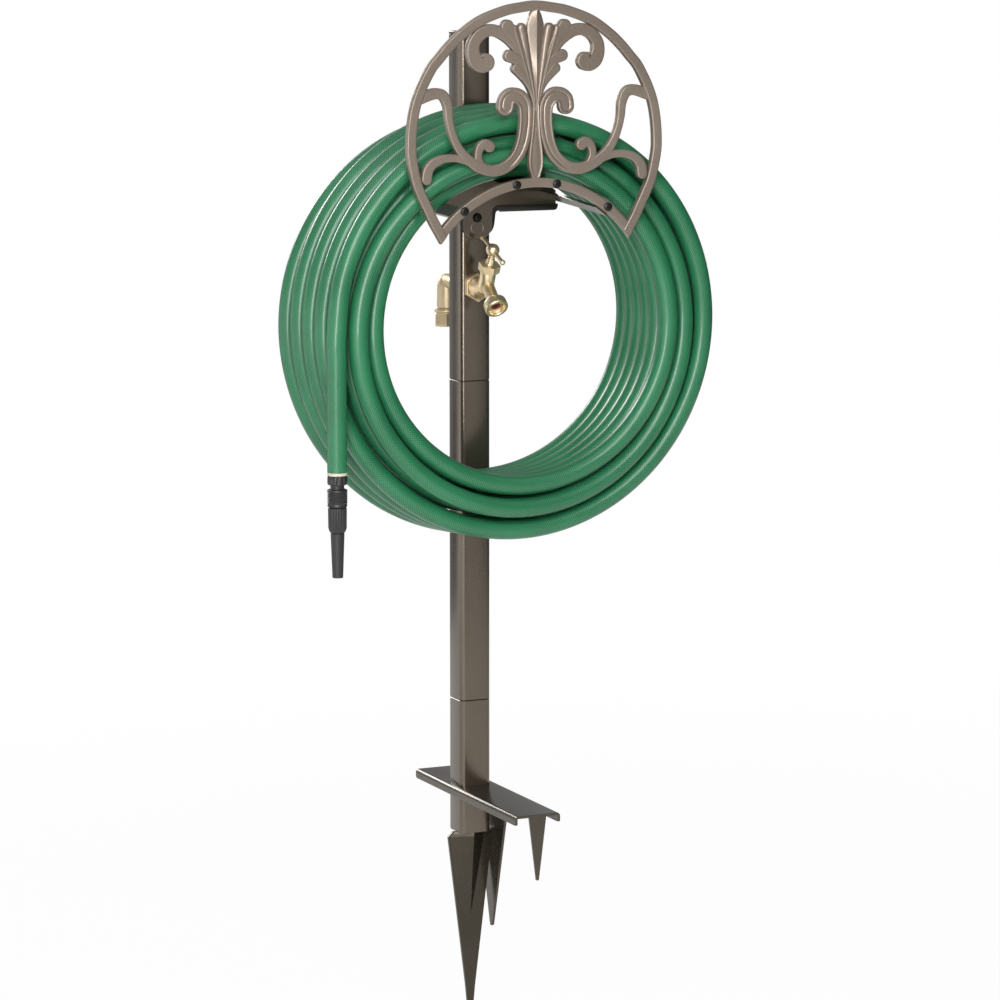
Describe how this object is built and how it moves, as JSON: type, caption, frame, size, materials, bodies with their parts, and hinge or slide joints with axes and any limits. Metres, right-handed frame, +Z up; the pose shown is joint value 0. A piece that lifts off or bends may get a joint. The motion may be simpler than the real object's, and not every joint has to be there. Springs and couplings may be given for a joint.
{
  "type": "hose stand",
  "caption": "Garden hose stand: square post on ground spikes, ornamental plate and saddle holding a coiled hose, with a front faucet and a rear swivel inlet.",
  "frame": {"origin": "on the post's axis at the ground line, level with the underside of the step plate", "axes": "+X right when facing the ornamental plate, -Y towards the front, +Z up along the post"},
  "size_m": [0.4963, 0.2835, 1.211],
  "materials": {
    "bronze_paint": "satin bronze powder coat",
    "brushed_steel": "brushed grey steel",
    "black_steel": "black oxide",
    "pale_brass": "cast, lightly polished",
    "washer_rubber": "matt",
    "green_hose": "glossy reinforced vinyl",
    "cream_plastic": "matt",
    "dark_plastic": "satin"
  },
  "bodies": {
    "root": {"post_lower": "bronze_paint", "post_middle": "bronze_paint", "post_upper": "bronze_paint", "post_cap": "bronze_paint", "coupler_low": "bronze_paint", "coupler_high": "bronze_paint", "front_plate": "bronze_paint", "saddle_back_plate": "bronze_paint", "saddle_centre_strap": "bronze_paint", "saddle_left_strap": "bronze_paint", "saddle_right_strap": "bronze_paint", "step_plate": "brushed_steel", "main_spike": "brushed_steel", "plate_screw_outer_left": "black_steel", "plate_screw_inner_left": "black_steel", "plate_screw_inner_right": "black_steel", "plate_screw_outer_right": "black_steel", "plate_nut_outer_left": "black_steel", "plate_nut_inner_left": "black_steel", "plate_nut_inner_right": "black_steel", "plate_nut_outer_right": "black_steel", "lug_bolt": "black_steel", "lug_nut": "black_steel", "faucet_body": "pale_brass", "faucet_lock_nut": "pale_brass", "bonnet_nut": "pale_brass", "inlet_nipple": "pale_brass", "inlet_back_nut": "pale_brass", "inlet_elbow": "pale_brass", "hose_tail_ferrule": "pale_brass", "outlet_washer": "washer_rubber", "hose_coil": "green_hose", "hose_end": "green_hose", "hose_end_ring": "cream_plastic", "nozzle_collar": "dark_plastic", "nozzle_body": "dark_plastic", "nozzle_tip": "dark_plastic"},
    "washer_riser": {"seat_washer": "washer_rubber", "washer_screw": "pale_brass"},
    "stem_turn": {"stem": "pale_brass", "handle_hub": "pale_brass", "handle_bar": "pale_brass", "handle_ball_front": "pale_brass", "handle_ball_back": "pale_brass"},
    "inlet_swivel": {"inlet_coupling": "pale_brass", "inlet_washer": "washer_rubber"},
    "tail_swivel": {"hose_tail_nut": "pale_brass", "hose_tail_washer": "washer_rubber"},
    "nozzle_control": {"nozzle_ring": "dark_plastic"}
  },
  "joints": [
    {"name": "washer_lift", "type": "slide", "parent": "root", "child": "washer_riser", "axis": [0, -0.4147, 0.91], "range_m": [0, 0.0035]},
    {"name": "handle_turn", "type": "hinge", "parent": "washer_riser", "child": "stem_turn", "pos_m": [0, -0.0655, 0.636], "axis": [0, -0.4147, 0.91], "range_deg": [0, 720]},
    {"name": "inlet_nut_turn", "type": "hinge", "parent": "root", "child": "inlet_swivel", "pos_m": [0, 0.064, 0.557], "axis": [0, 0, 1], "continuous": true},
    {"name": "hose_tail_nut_turn", "type": "hinge", "parent": "root", "child": "tail_swivel", "pos_m": [-0.10232, -0.0123, 0.7219], "axis": [0.7071, 0, 0.7071], "continuous": true},
    {"name": "nozzle_ring_turn", "type": "hinge", "parent": "root", "child": "nozzle_control", "pos_m": [-0.233, -0.1625, 0.4022], "axis": [0, 0, 1], "range_deg": [0, 90]}
  ],
  "couplings": [
    {"joint": "washer_lift", "follows": "handle_turn", "m_per_rad": 0.00027852}
  ]
}
